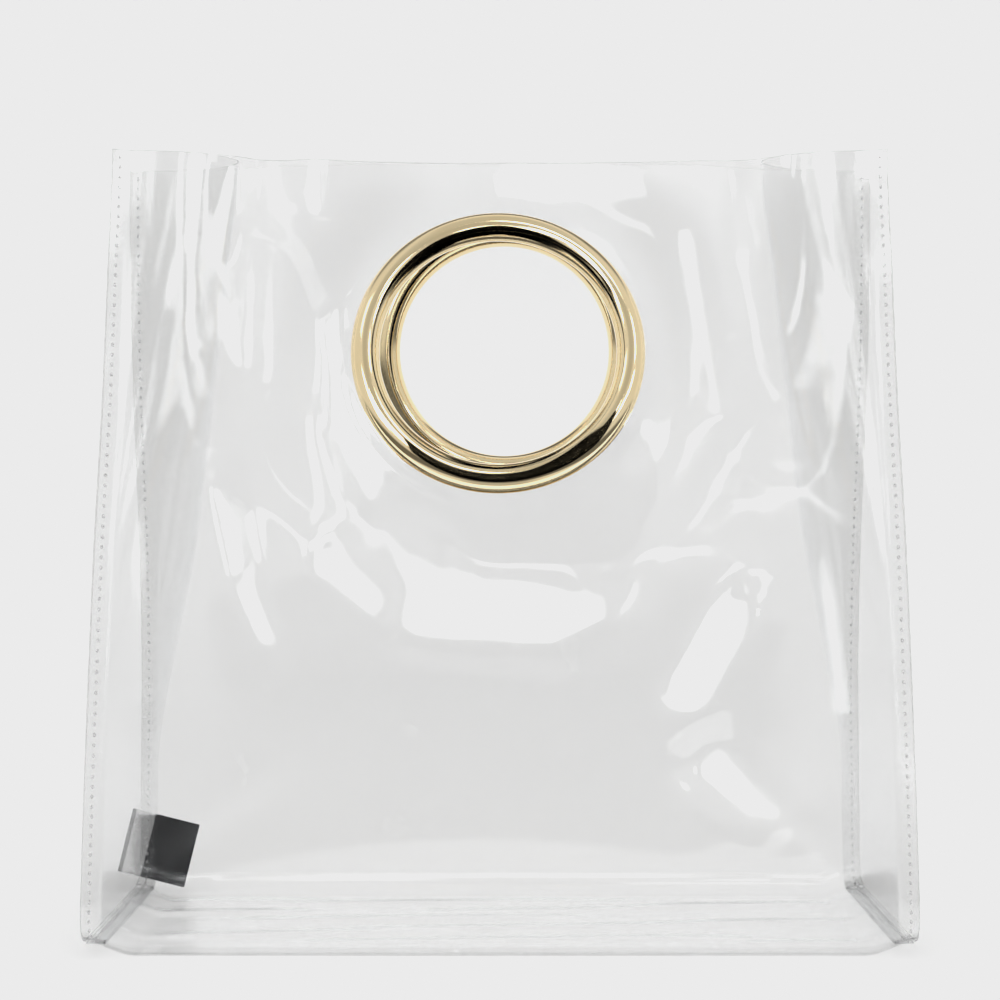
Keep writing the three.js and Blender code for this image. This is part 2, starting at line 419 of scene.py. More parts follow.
def level(z):
    """Every column of the table at a height, on a smooth curve through the rows."""
    z = np.clip(z, LEVELS[0, HEIGHT], LEVELS[-1, HEIGHT])
    k = np.clip(np.searchsorted(LEVELS[:, HEIGHT], z) - 1, 0, len(LEVELS) - 2)
    low, high = LEVELS[k], LEVELS[k + 1]
    span = high[..., :1] - low[..., :1]
    p = (z[..., None] - low[..., :1]) / span
    q = 1 - p
    bend = p * q * span * (q * level_slopes[k] - p * level_slopes[k + 1])
    return (1 + 2 * p) * q * q * low + (3 - 2 * p) * p * p * high + bend


print("the bag at half height", np.round(level(np.array(150.0)), 1))

# %% [markdown]
# Soft folds are humps along a line, each with its half width and how far it rises out of the panel. They
# give the film its slow swells: rolls beside the mouth, the belly under the ring, and creases that run from
# the corners.

# %% Soft folds
# Columns: from x and height, to x and height, half width, rise, share of the rise left at the far end.
FRONT_FOLDS = (
    (-114, 300, -122, 190, 26, 11, 0.2),
    (-84, 300, -96, 215, 23, -9, 0.1),
    (116, 300, 122, 215, 26, 6, 0.2),
    (90, 300, 98, 190, 23, -5, 0.2),
    (-40, 128, 38, 118, 26, 4, 0.7),
    (-104, 170, -84, 100, 15, 3.5, 0.4),
    (90, 125, 64, 86, 18, 4, 0.6),
    (76, 70, 100, 48, 16, -3.5, 0.5),
)
REAR_FOLDS = (
    (-140, 8, -84, 46, 13, -5, 0.1),
    (140, 8, 78, 44, 13, -5, 0.1),
    (-112, 300, -104, 150, 26, 5, 0.2),
    (110, 300, 100, 150, 26, 5, 0.2),
)
FRONT = {
    "out": -1, "seam": FRONT_SEAM, "mid": FRONT_MID, "folds": FRONT_FOLDS, "top": (288.5, 296),
    "ring": (-0.7, 217.7), "ring_depth": -53, "lean": 15, "swell": -3.7,
}
REAR = {
    "out": 1, "seam": REAR_SEAM, "mid": REAR_MID, "folds": REAR_FOLDS, "top": (301, 293),
    "ring": (1.8, 224.6), "ring_depth": 42, "lean": -5, "swell": 3.7,
}


def along_line(x, z, x0, z0, x1, z1):
    """Share of the way along a line, and the distance from it."""
    dx, dz = x1 - x0, z1 - z0
    share = np.clip(((x - x0) * dx + (z - z0) * dz) / (dx * dx + dz * dz), 0, 1)
    return share, np.hypot(x - x0 - share * dx, z - z0 - share * dz)


def fold_rise(folds, x, z):
    rise = np.zeros_like(x)
    for x0, z0, x1, z1, half, height, end_share in folds:
        share, away = along_line(x, z, x0, z0, x1, z1)
        hump = 0.5 + 0.5 * np.cos(math.pi * np.minimum(away / half, 1))
        rise += height * (1 + (end_share - 1) * share) * hump
    return rise


def ring_distance(panel, x, z):
    return np.hypot(x - panel["ring"][0], z - panel["ring"][1])


def smooth_depth(panel, across, z):
    """Depth of a panel with its soft folds: flat round its ring, and free further out."""
    row = level(z)
    x = across * row[..., SEAM_X]
    seam = row[..., panel["seam"]]
    bow = (row[..., panel["mid"]] - seam) * (1 - across**2)
    free = seam + bow + panel["out"] * fold_rise(panel["folds"], x, z) * (1 - across**4)
    flat = panel["ring_depth"] + (z - panel["ring"][1]) * math.tan(math.radians(panel["lean"]))
    return flat + (free - flat) * ease(ring_distance(panel, x, z), FLAT_RADIUS, FLAT_FADE)


print(len(FRONT_FOLDS), "front folds and", len(REAR_FOLDS), "rear folds")

# %% [markdown]
# Film is never quite flat either. Slow noise gives each panel its own faint swell.

# %% Swell
SWELL = 0.2
SWELL_SPAN = 40


def swell(x, z, seed):
    points = zip(x.ravel(), z.ravel())
    values = [noise.noise(Vector((a / SWELL_SPAN, b / SWELL_SPAN, seed))) for a, b in points]
    return SWELL * np.array(values).reshape(x.shape)


print("swell of about", SWELL, "mm")

# %% [markdown]
# The crisp glints in clear film are places between its creases that happen to lie just right to throw a
# lamp into the eye. Each one is a short stroke here: its lamp, its two ends, and its half width at each
# end. Inside a stroke the mirrored ray is followed to the lamp's plane, moved onto the lamp, and the slope
# that the film would need for that is noted.

# %% Strokes where the film catches a lamp
# Columns: lamp, from x and height, to x and height, half width at the start and at the end.
GLINTS = (
    ("upper_left_lamp", -87, 287, -75, 256, 2.4, 2.8),
    ("upper_left_lamp", -75, 256, -64, 234, 2.8, 3.2),
    ("tall_lamp", -62, 230, -55, 190, 3.5, 4.0),
    ("tall_lamp", -54, 190, -39, 158, 4.0, 4.5),
    ("tall_lamp", -39, 158, -24, 140, 4.5, 6.0),
    ("front_lamp", -28, 138, -12, 132, 7.0, 5.0),
    ("front_lamp", -26, 125, 16, 123, 9.5, 9.5),
    ("front_lamp", 16, 123, 34, 126, 9.0, 3.5),
    ("front_lamp", -62, 141, -45, 129, 5.0, 5.0),
    ("front_lamp", 81, 120, 68, 95, 7.5, 7.0),
    ("front_lamp", 77, 70, 97, 52, 6.5, 3.0),
    ("low_right_lamp", 117, 142, 123, 90, 3.5, 3.0),
    ("far_right_lamp", 130, 247, 126, 241, 3.5, 2.5),
    ("right_lamp", 126, 234, 109, 206, 4.0, 3.0),
    ("far_right_lamp", 126, 285, 132, 253, 2.6, 2.2),
    ("upper_right_lamp", 67, 262, 78, 196, 2.2, 2.2),
    ("high_lamp", 4, 281, 50, 279, 6.0, 4.0),
    ("small_lamp", 50, 190, 48, 180, 3.5, 4.5),
    ("plain_card", -6, 151, 40, 148, 7.0, 7.0),
    ("left_lamp", -115, 290, -110, 249, 4.0, 4.5),
    ("left_lamp", -110, 249, -112, 221, 4.5, 2.6),
    ("left_lamp", -100, 287, -108, 249, 2.2, 2.4),
    ("far_left_lamp", -125, 294, -120, 270, 2.2, 2.0),
    ("far_left_lamp", -118, 252, -124, 237, 2.6, 3.2),
    ("left_lamp", -106, 242, -95, 214, 2.6, 2.0),
    ("far_left_lamp", -85, 257, -84, 208, 2.6, 2.2),
    ("left_lamp", -101, 166, -93, 138, 2.2, 2.8),
    ("front_lamp", -92, 134, -83, 115, 3.2, 2.6),
    ("far_left_lamp", -117, 223, -132, 165, 2.2, 2.2),
    ("far_left_lamp", -131, 164, -130, 96, 2.2, 2.0),
    ("far_left_lamp", -70, 290, -69, 270, 2.6, 2.6),
    ("far_right_lamp", 137, 178, 140, 157, 2.2, 2.2),
)
GLINT_CORE = 0.75
GLINT_RIM = 1.3
LAMP_USED = 0.5
GROOVE_EDGE = (52.0, 57.0)
RELIEF_X = np.arange(-160.0, 160.0)
RELIEF_Z = np.arange(-10.0, 310.0)


def unit(way):
    return way / np.linalg.norm(way, axis=-1, keepdims=True)


def lamp_shares(lamp, spot, mirrored):
    """Where mirrored rays meet the plane of a lamp, in shares of its half width and half height."""
    middle, across, high = [np.array(way) for way in lamp_axes(lamp)]
    facing = np.cross(across, high)
    reach = ((middle - spot) @ facing) / np.maximum(mirrored @ facing, 1e-3 * np.linalg.norm(facing))
    hit = spot + mirrored * reach[..., None] - middle
    return hit @ across / (across @ across), hit @ high / (high @ high)


def slopes_to_lamp(lamp, spot, to_eye, share_across, share_high):
    """Slopes across and upwards at which each spot throws a place on the lamp into the eye."""
    middle, across, high = [np.array(way) for way in lamp_axes(lamp)]
    target = middle + share_across[..., None] * across + share_high[..., None] * high
    halfway = unit(target - spot) + to_eye
    return halfway[..., 0] / -halfway[..., 1], halfway[..., 2] / -halfway[..., 1]


def mirror_rays(slope_x, slope_z, to_eye):
    normal = unit(np.stack((slope_x, -np.ones_like(slope_x), slope_z), axis=-1))
    return 2 * np.sum(normal * to_eye, axis=-1, keepdims=True) * normal - to_eye


print(len(GLINTS), "glint strokes")

# %% [markdown]
# Now the film is pushed in and out until its slope is as wanted inside the strokes, low elsewhere, and
# smooth everywhere. That is a least-squares fit on a fine grid, solved with conjugate gradients. A Fourier
# transform solves the same problem for even weights in one step, so it speeds up every round. Places
# outside the strokes that mirror a lamp by chance are then turned just past the lamp's edge, and the fit is
# made again.

# %% Relief that makes the glints
SLOPE_ELSEWHERE = 0.02
STIFFNESS = 0.5
DEPTH_HOLD = 1e-4
ROUNDS = 30
PASSES = 7
STRAY_WEIGHT = 0.8
STRAY_EDGE = 1.15
STRAY_GOAL = 1.7
MISS_EDGE = 0.9
MISS_FACTOR = 1.4


def ahead(values, axis):
    return np.roll(values, -1, axis) - values


def behind(values, axis):
    return np.roll(values, 1, axis) - values


def fit_relief(weight, goal_x, goal_z, relief):
    """The relief whose slopes come closest to the goals, where each place counts by its weight."""
    even_weight = weight + SLOPE_ELSEWHERE

    def bend(r):
        return behind(ahead(r, 1), 1) + behind(ahead(r, 0), 0)

    def pull(r):
        slopes = behind(even_weight * ahead(r, 1), 1) + behind(even_weight * ahead(r, 0), 0)
        return slopes + STIFFNESS * bend(bend(r)) + DEPTH_HOLD * r

    waves = [2 - 2 * np.cos(2 * math.pi * np.fft.fftfreq(len(line))) for line in (RELIEF_Z, RELIEF_X)]
    square = waves[0][:, None] + waves[1][None, :]
    even = even_weight.mean() * square + STIFFNESS * square**2 + DEPTH_HOLD

    def guess(r):
        return np.real(np.fft.ifft2(np.fft.fft2(r) / even))

    left = behind(weight * goal_x, 1) + behind(weight * goal_z, 0) - pull(relief)
    step = way = guess(left)
    for _ in range(ROUNDS):
        pulled = pull(way)
        size = np.sum(left * step) / np.sum(way * pulled)
        relief = relief + size * way
        new_left = left - size * pulled
        new_step = guess(new_left)
        way = new_step + np.sum(new_left * new_step) / np.sum(left * step) * way
        left, step = new_left, new_step
    return relief


def solve_relief():
    x, z = np.meshgrid(RELIEF_X, RELIEF_Z)
    depth = smooth_depth(FRONT, np.clip(x / level(z)[..., SEAM_X], -1, 1), z) + swell(x, z, FRONT["swell"])
    slope_z, slope_x = np.gradient(depth)
    spot = np.stack((x, depth, z), axis=-1)
    to_eye = unit(np.array(EYE) - spot)
    rays = mirror_rays(slope_x, slope_z, to_eye)
    cover, goal_x, goal_z = np.zeros_like(x), np.zeros_like(x), np.zeros_like(x)
    strokes = []
    for lamp, x0, z0, x1, z1, half0, half1 in GLINTS:
        share, away = along_line(x, z, x0, z0, x1, z1)
        window = 1 - ease(away / (half0 + (half1 - half0) * share), GLINT_CORE, GLINT_RIM)
        shares = [np.clip(part, -LAMP_USED, LAMP_USED) for part in lamp_shares(lamp, spot, rays)]
        want_x, want_z = slopes_to_lamp(lamp, spot, to_eye, *shares)
        strokes.append((lamp, window > 0.5))
        cover += window
        goal_x += window * (want_x - slope_x)
        goal_z += window * (want_z - slope_z)
    goal_x /= np.maximum(cover, 1e-6)
    goal_z /= np.maximum(cover, 1e-6)
    weight = np.minimum(cover, 1)
    outside = (cover < 0.02) & (ring_distance(FRONT, x, z) > GROOVE_EDGE[0])
    relief = np.zeros_like(x)
    for _ in range(PASSES):
        relief = fit_relief(weight, goal_x, goal_z, relief)
        more_z, more_x = np.gradient(relief)
        rays = mirror_rays(slope_x + more_x, slope_z + more_z, to_eye)
        for lamp, inside in strokes:
            missed = inside & (np.max(np.abs(lamp_shares(lamp, spot, rays)), axis=0) > MISS_EDGE)
            weight = np.where(missed, weight * MISS_FACTOR, weight)
        for lamp in LAMPS:
            across, high = lamp_shares(lamp, spot, rays)
            stray = outside & (np.maximum(np.abs(across), np.abs(high)) < STRAY_EDGE)
            wider = np.abs(across) > np.abs(high)
            across = np.where(wider, np.copysign(STRAY_GOAL, across), across)
            high = np.where(wider, high, np.copysign(STRAY_GOAL, high))
            want_x, want_z = slopes_to_lamp(lamp, spot, to_eye, across, high)
            goal_x = np.where(stray, want_x - slope_x, goal_x)
            goal_z = np.where(stray, want_z - slope_z, goal_z)
            weight = np.where(stray, STRAY_WEIGHT, weight)
    print("relief from", round(relief.min(), 2), "to", round(relief.max(), 2), "mm")
    return relief


front_relief = solve_relief()


def glint_depth(x, z):
    """The relief at any place, between the four nearest grid points."""
    column = np.clip(x - RELIEF_X[0], 0, len(RELIEF_X) - 1.001)
    row = np.clip(z - RELIEF_Z[0], 0, len(RELIEF_Z) - 1.001)
    i, j = row.astype(int), column.astype(int)
    p, q = row - i, column - j
    low = front_relief[i, j] * (1 - q) + front_relief[i, j + 1] * q
    high = front_relief[i + 1, j] * (1 - q) + front_relief[i + 1, j + 1] * q
    return low * (1 - p) + high * p


# %% [markdown]
# The relief is gone at the seams and in the groove of a ring, where the film is held. Long low wrinkles run
# across the base, where the weight of the film has pressed it into ripples.

# %% Whole panels and base wrinkles
# Columns: depth on the base, middle x, half length, half width, rise.
BASE_WRINKLES = (
    (44, -105, 50, 4, 1.6),
    (40, -20, 105, 4, 1.5),
    (33, 95, 55, 4, 1.4),
    (25, 35, 90, 4, 1.2),
    (20, -110, 45, 4, 1.6),
    (8, -35, 95, 5, 1.5),
    (2, 105, 45, 4, 1.4),
    (-6, 20, 110, 4, 1.2),
    (-18, -80, 70, 4, 1.3),
    (-29, 10, 120, 5, 1.4),
    (-34, 110, 40, 4, 1.2),
    (-42, -15, 110, 4, 1.1),
)
WRINKLE_BOW = 3
WRINKLE_SPAN = 45
RIPPLE_FADE = 12


def panel_depth(panel, across, z):
    """Depth of a panel with all its relief, which is gone at the seams and in the groove of the ring."""
    x = across * level(z)[..., SEAM_X]
    relief = swell(x, z, panel["swell"])
    if panel is FRONT:
        relief = relief + glint_depth(x, z)
    fade = (1 - across**8) * ease(ring_distance(panel, x, z), *GROOVE_EDGE)
    return smooth_depth(panel, across, z) + relief * fade


def base_rise(x, y):
    rise = np.zeros_like(x)
    for depth, middle, half_length, half_width, height in BASE_WRINKLES:
        bowed = y - depth - WRINKLE_BOW * np.sin((x - middle) / WRINKLE_SPAN)
        across = np.exp(-((bowed / half_width) ** 2))
        rise += height * across * (1 - ease(np.abs(x - middle) / half_length, 0.3, 1))
    return rise


print(len(BASE_WRINKLES), "base wrinkles")

# %% [markdown]
# The body sheet runs from the front's top edge down, under the base and up to the rear's top edge. A grid
# is a flat cut of film. Its columns run across the bag and its rows along the strip, and each vertex is
# moved to its place.

# %% Surface of the body sheet
def strip_point(panel, across, distance):
    """Middle of the film at a place across the bag, at a film distance from the middle line of the base."""
    edge = np.full_like(across, FOLD_RADIUS)
    fold_depth = np.abs(smooth_depth(panel, across, edge)) - FOLD_RADIUS
    turn = np.clip((distance - FOLD_START) / FOLD_RADIUS, 0, math.pi / 2)
    top = panel["top"][0] + (panel["top"][1] - panel["top"][0]) * across**2
    climb = np.maximum(distance - FOLD_END, 0) / PANEL_LENGTH
    panel_z = FOLD_RADIUS + (top - FOLD_RADIUS) * climb
    low = fold_depth * np.minimum(distance / FOLD_START, 1) + FOLD_RADIUS * np.sin(turn)
    on_panel = distance > FOLD_END
    z = np.where(on_panel, panel_z, FOLD_RADIUS * (1 - np.cos(turn)))
    y = panel["out"] * np.where(on_panel, np.abs(panel_depth(panel, across, panel_z)), low)
    x = across * level(z)[..., SEAM_X]
    lift = ease(np.abs(across), LIFT_START, 1) * (1 - ease(z, 0, LIFT_FADE))
    ripple = base_rise(x, y) * (1 - ease(distance, FOLD_START - RIPPLE_FADE, FOLD_START))
    return np.stack((x, y, z + FILM / 2 + CORNER_LIFT * lift + ripple), axis=-1)


def body_point(across, along):
    front = strip_point(FRONT, across, np.abs(along))
    rear = strip_point(REAR, across, np.abs(along))
    return np.where((along < 0)[..., None], front, rear)


def inward(across, along):
    """The direction into the bag."""
    step_u, step_v = 1e-3, 0.15
    du = body_point(across + step_u, along) - body_point(across - step_u, along)
    dv = body_point(across, along + step_v) - body_point(across, along - step_v)
    return unit(np.cross(du, dv))


print("film from the middle of the base to each top edge:", round(STRIP_END, 1), "mm")

# %% [markdown]
# Clear film lets most light straight through and mirrors a little of it, more and more as it is seen edge
# on. A transparent and a mirror-like shader, mixed by that share, do this without the grain that bent light
# would bring. The rear panel and the base mirror more dully, so that no second set of sharp glints shows
# through the front, and the side sheets are a little greyer. A cut edge gathers light from inside the film,
# so it shows as a fine grey line and has a finish of its own.

# %% Film finishes
MIRROR_SHARE = 0.03
MIRROR_SHARE_EDGE_ON = 0.5


def clear_film(name, passes, passes_edge_on, dullness):
    material, board = new_finish(name)
    haze = board.mottle(55.0, 2.0, Roughness=0.6)
    gloss = board.add(
        "ShaderNodeBsdfPrincipled", {},
        {"Base Color": (0.97, 0.98, 0.99, 1), "Metallic": 1.0, "Roughness": dullness + 0.08 * haze},
    )
    edge_on = board.add("ShaderNodeLayerWeight", {}, {"Blend": 0.5}, out="Facing")
    thin = board.add("ShaderNodeBsdfTransparent", {}, {"Color": (passes, passes, passes - 0.001, 1)})
    deep = board.add("ShaderNodeBsdfTransparent", {}, {"Color": grey(passes_edge_on)})
    clear = board.add("ShaderNodeMixShader", {}, {0: edge_on, 1: thin, 2: deep})
    mirror = MIRROR_SHARE + MIRROR_SHARE_EDGE_ON * edge_on**5
    film = board.add("ShaderNodeMixShader", {}, {0: mirror, 1: clear, 2: gloss})
    board.surface(film)
    return material


def cut_edge():
    material, board = new_finish("cut_edge")
    nick = board.mottle(300.0, 2.0)
    rim = board.add(
        "ShaderNodeBsdfPrincipled", {}, {"Base Color": grey(0.55), "Roughness": 0.2 + 0.2 * nick}
    )
    clear = board.add("ShaderNodeBsdfTransparent", {}, {"Color": grey(0.9)})
    edge = board.add("ShaderNodeMixShader", {}, {0: 0.35 + 0.3 * nick, 1: clear, 2: rim})
    board.surface(edge)
    return material


film_finish = clear_film("clear_film", passes=0.973, passes_edge_on=0.988, dullness=0.06)
dull_finish = clear_film("dull_film", passes=0.973, passes_edge_on=0.988, dullness=0.25)
side_finish = clear_film("side_film", passes=0.957, passes_edge_on=0.985, dullness=0.12)
edge_finish = cut_edge()
print("finishes:", film_finish.name, dull_finish.name, side_finish.name, edge_finish.name)

# %% [markdown]
# Film is bought by the roll and cut flat. A flat grid stands for such a cut: every vertex is moved to its
# place on the bent surface, and the sheet is then given its thickness. The narrow faces that this adds are
# the cut edges.

# %% Cutting and bending a sheet of film
def steps(start, end, count):
    return np.linspace(start, end, count, endpoint=False)


def lay_grid(mesh, surface, stations_u, stations_v):
    """A grid with one vertex row for each station, moved onto a surface."""
    count_u, count_v = len(stations_u) - 1, len(stations_v) - 1
    made = bmesh.ops.create_grid(mesh, x_segments=count_u, y_segments=count_v, size=1)["verts"]
    flat = np.array([vert.co for vert in made])
    u = stations_u[np.rint((flat[:, 0] + 1) / 2 * count_u).astype(int)]
    v = stations_v[np.rint((flat[:, 1] + 1) / 2 * count_v).astype(int)]
    for vert, point in zip(made, surface(u, v)):
        vert.co = place(*point)


def thicken(mesh):
    """Gives a bent sheet the thickness of film, half to each side, and marks its cut edges."""
    mesh.normal_update()
    for vert in mesh.verts:
        vert.co += vert.normal * FILM * MM / 2
    sheet_faces = set(mesh.faces)
    bmesh.ops.solidify(mesh, geom=list(mesh.faces), thickness=FILM * MM)
    for face in mesh.faces:
        face.smooth = True
        shortest = min(edge.calc_length() for edge in face.edges)
        face.material_index = int(face not in sheet_faces and abs(shortest - FILM * MM) < 0.1 * MM)
    for edge in mesh.edges:
        edge.smooth = len({face.material_index for face in edge.link_faces}) == 1


print("film of", FILM, "mm")

# %% [markdown]
# The hole for a ring is cut by deleting the faces inside it and pulling the ragged edge onto a circle,
# which ends up hidden in the groove of the ring.

# %% Body sheet
BODY_COLUMNS = 168
FRONT_ROWS = 178
FOLD_ROWS = 8
BASE_ROWS = 34
REAR_ROWS = 60
HOLE_RADIUS = 49.4
HOLE_SLACK = 0.6
RIM_REACH = 6
PANEL_REACH = 30
FAR_OFF = Vector((999, 999))


def cut_hole(mesh, panel):
    middle_x, middle_z = panel["ring"]
    lean = math.radians(panel["lean"])
    middle = place(middle_x, panel["ring_depth"], middle_z + FILM / 2)
    up = Vector((0, math.sin(lean), math.cos(lean)))

    def in_plane(point):
        offset = (point - middle) / MM
        return Vector((offset.x, offset.dot(up))) if abs(offset.y) < PANEL_REACH else FAR_OFF

    inside = [f for f in mesh.faces if in_plane(f.calc_center_median()).length < HOLE_RADIUS + HOLE_SLACK]
    bmesh.ops.delete(mesh, geom=inside, context="FACES")
    rim = [v for v in mesh.verts if v.is_boundary and in_plane(v.co).length < HOLE_RADIUS + RIM_REACH]
    for vert in rim:
        spot = in_plane(vert.co).normalized() * HOLE_RADIUS * MM
        vert.co = middle + Vector((spot.x, 0, 0)) + up * spot.y
    return len(rim)


def body_sheet():
    mesh = bmesh.new()
    across = np.append(steps(-1, 1, BODY_COLUMNS), 1.0)
    along = np.concatenate((
        steps(-STRIP_END, -FOLD_END, FRONT_ROWS),
        steps(-FOLD_END, -FOLD_START, FOLD_ROWS),
        steps(-FOLD_START, FOLD_START, BASE_ROWS),
        steps(FOLD_START, FOLD_END, FOLD_ROWS),
        steps(FOLD_END, STRIP_END, REAR_ROWS),
        (STRIP_END,),
    ))
    lay_grid(mesh, body_point, across, along)
    holes = [cut_hole(mesh, panel) for panel in (FRONT, REAR)]
    thicken(mesh)
    panel_start = FOLD_RADIUS * MM
    base_front, base_middle, base_rear = [place(0, y, 0).y for y in (-FOLD_START, 0, FOLD_START)]
    for face in mesh.faces:
        middle = face.calc_center_median()
        on_rear = middle.z > panel_start and middle.y > base_middle
        on_base = middle.z < panel_start and base_front < middle.y < base_rear
        if face.material_index == 0 and (on_rear or on_base):
            face.material_index = 2
    piece = add_object("body_film", mesh, film_finish, edge_finish, dull_finish)
    print("body sheet:", len(piece.data.polygons), "faces, hole edges of", holes, "points")
    return piece


body = body_sheet()
body.visible_shadow = False
body.visible_diffuse = False
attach(body, "root")
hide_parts("body_sheet")

# %% [markdown]
# A side sheet is sewn to the long edges of the front and the rear, inside them, and to the short edge of
# the base. Between the seams it swings inwards, more and more towards the mouth, because the bag is made to
# fold flat there.

# %% Side sheets
MARGIN_COLUMNS = 4
SWING_COLUMNS = 44
SIDE_ROWS = 110
FLANGE_ROWS = 4
SWING_FULLNESS = 0.6
CREASE_POWER = 1.7
SIDE_SWELL = 2
SIDE_SWELL_SEED = 11.3


def margin_point(side, end, inset, distance):
    """A place in the sewn margin, on the inner face of the body sheet."""
    across = side * (1 - inset / PANEL_HALF_WIDTH)
    along = end * distance
    return body_point(across, along) + inward(across, along) * (FILM + SEAM_GAP)


def swing_point(side, swing, distance):
    """A place between the two margins: swing runs from -1 at the front to 1 at the rear."""
    inset = np.full_like(distance, SEAM_MARGIN)
    front = margin_point(side, -1, inset, distance)
    rear = margin_point(side, 1, inset, distance)
    fold_in = level(front[..., 2])[..., FOLD_IN]
    inward_share = 1 - np.abs(swing) ** CREASE_POWER
    fullness = SWING_FULLNESS * fold_in / LEVELS[-1, FOLD_IN]
    share = 0.5 + 0.5 * swing * (1 + fullness * (1 - swing**2))
    point = front + (rear - front) * share[..., None]
    waver = swell(point[..., 1], point[..., 2], SIDE_SWELL_SEED * side) * SIDE_SWELL * inward_share
    point[..., 0] -= side * (fold_in * inward_share + waver)
    return point


def side_point(side, column, distance):
    last = 2 * MARGIN_COLUMNS + SWING_COLUMNS
    front_inset = SEAM_MARGIN * np.clip(column / MARGIN_COLUMNS, 0, 1)
    rear_inset = SEAM_MARGIN * np.clip((last - column) / MARGIN_COLUMNS, 0, 1)
    swing = np.clip(2 * (column - MARGIN_COLUMNS) / SWING_COLUMNS - 1, -1, 1)
    point = swing_point(side, swing, distance)
    in_front = (column < MARGIN_COLUMNS)[..., None]
    at_rear = (column > last - MARGIN_COLUMNS)[..., None]
    point = np.where(in_front, margin_point(side, -1, front_inset, distance), point)
    return np.where(at_rear, margin_point(side, 1, rear_inset, distance), point)


def side_sheet(name, node, side):
    mesh = bmesh.new()
    last = 2 * MARGIN_COLUMNS + SWING_COLUMNS
    columns = np.append(steps(0, last, last), float(last))
    distances = np.concatenate((
        steps(FOLD_START, FOLD_END, FOLD_ROWS), steps(FOLD_END, STRIP_END, SIDE_ROWS), (STRIP_END,)
    ))

    def wall(column, distance):
        return side_point(side, column, distance)

    def flange(swing, inset):
        """The turned-out bottom margin, which lies on the short edge of the base."""
        foot = swing_point(side, swing, np.full_like(swing, FOLD_START))
        foot[..., 0] += side * (SEAM_MARGIN - inset)
        return foot

    swings = np.append(steps(-1, 1, SWING_COLUMNS), 1.0)
    insets = np.append(steps(0, SEAM_MARGIN, FLANGE_ROWS), float(SEAM_MARGIN))
    lay_grid(mesh, wall, columns, distances)
    lay_grid(mesh, flange, swings, insets)
    bmesh.ops.remove_doubles(mesh, verts=mesh.verts, dist=0.02 * MM)
    bmesh.ops.recalc_face_normals(mesh, faces=mesh.faces)
    thicken(mesh)
    piece = add_object(name, mesh, side_finish, edge_finish)
    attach(piece, "root")
    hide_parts(node)
    print(name, len(piece.data.polygons), "faces")


side_sheet("left_side_film", "left_gusset", -1)
side_sheet("right_side_film", "right_gusset", 1)

# %% [markdown]
# A handle is a polished tube bent into a ring, with a groove round the outside that grips the film. One
# outline of the tube is spun round the axis of the ring. The plating is pale gold: its colour and its
# polish drift a little, and hairline wear blurs the mirror in places.

# %% Ring handles
RING_OUTER = 106
RING_TUBE = 10.4
GROOVE_FLOOR = 48.7
GROOVE_HALF = 0.55
TUBE_SIDES = 48
RING_STEPS = 192
RING_LIFT = 0.5
SHARP_ANGLE = 40


def pale_gold():
    material, board = new_finish("pale_gold")
    drift = board.mottle(28.0, 3.0)
    hairline = board.mottle(900.0, 2.0, Distortion=2.0)
    tone = board.add(
        "ShaderNodeValToRGB",
        {"stops": ((0.3, (0.91, 0.73, 0.43, 1)), (0.7, (0.96, 0.80, 0.51, 1)))}, {"Fac": drift},
    )
    worn = board.add("ShaderNodeBump", {}, {"Strength": 0.02, "Distance": 0.0001, "Height": hairline})
    metal = board.add(
        "ShaderNodeBsdfPrincipled", {},
        {"Base Color": tone, "Metallic": 1.0, "Roughness": 0.045 + 0.05 * drift, "Normal": worn},
    )
    board.surface(metal)
    return material


def ring_matrix(panel):
    x, z = panel["ring"]
    seat = place(x, panel["ring_depth"], z + RING_LIFT)
    return Matrix.Translation(seat) @ Matrix.Rotation(-math.radians(panel["lean"]), 4, "X")


def handle(name, node, panel):
    tube = RING_TUBE / 2
    middle = RING_OUTER / 2 - tube
    half_step = math.pi / TUBE_SIDES
    mesh = bmesh.new()
    outline = bmesh.ops.create_circle(
        mesh, segments=TUBE_SIDES, radius=tube, matrix=Matrix.Rotation(half_step, 4, "Z")
    )["verts"]
    for vert in outline:
        vert.co.x += middle
        if abs(vert.co.y) < tube * math.sin(2 * half_step) and vert.co.x > middle:
            vert.co = (GROOVE_FLOOR, math.copysign(GROOVE_HALF, vert.co.y), 0)
    bmesh.ops.spin(
        mesh, geom=mesh.verts[:] + mesh.edges[:], cent=(0, 0, 0), axis=(0, 1, 0), angle=2 * math.pi,
        steps=RING_STEPS, use_merge=True,
    )
    bmesh.ops.remove_doubles(mesh, verts=mesh.verts, dist=0.001)
    bmesh.ops.recalc_face_normals(mesh, faces=mesh.faces)
    bmesh.ops.scale(mesh, vec=(MM, MM, MM), verts=mesh.verts)
    bmesh.ops.transform(mesh, matrix=ring_matrix(panel), verts=mesh.verts)
    for face in mesh.faces:
        face.smooth = True
    piece = add_object(name, mesh, gold_finish)
    piece.data.set_sharp_from_angle(angle=math.radians(SHARP_ANGLE))
    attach(piece, "root")
    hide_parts(node)
    print(name, len(piece.data.polygons), "faces")


gold_finish = pale_gold()
handle("front_handle", "front_ring", FRONT)
handle("rear_handle", "rear_ring", REAR)

# %% [markdown]
# Polished metal needs something dark to mirror, or it looks flat. Photographers bend strips of black paper
# round it. The dark arcs are written down as they are seen: the angle round the ring, and the two edges of
# the arc as shares of the tube from its outside. From each place on the tube the mirrored ray is followed a
# short way, and the strip is laid there. The strips are studio paper, clear of the bag, and short enough to
# leave the film its lamps.

# %% Black strips round the front ring
UPPER_STRIP_FAR = 42
LOWER_STRIP_FAR = 54
STRIP_COLUMNS = 90
STRIP_ROWS = 8
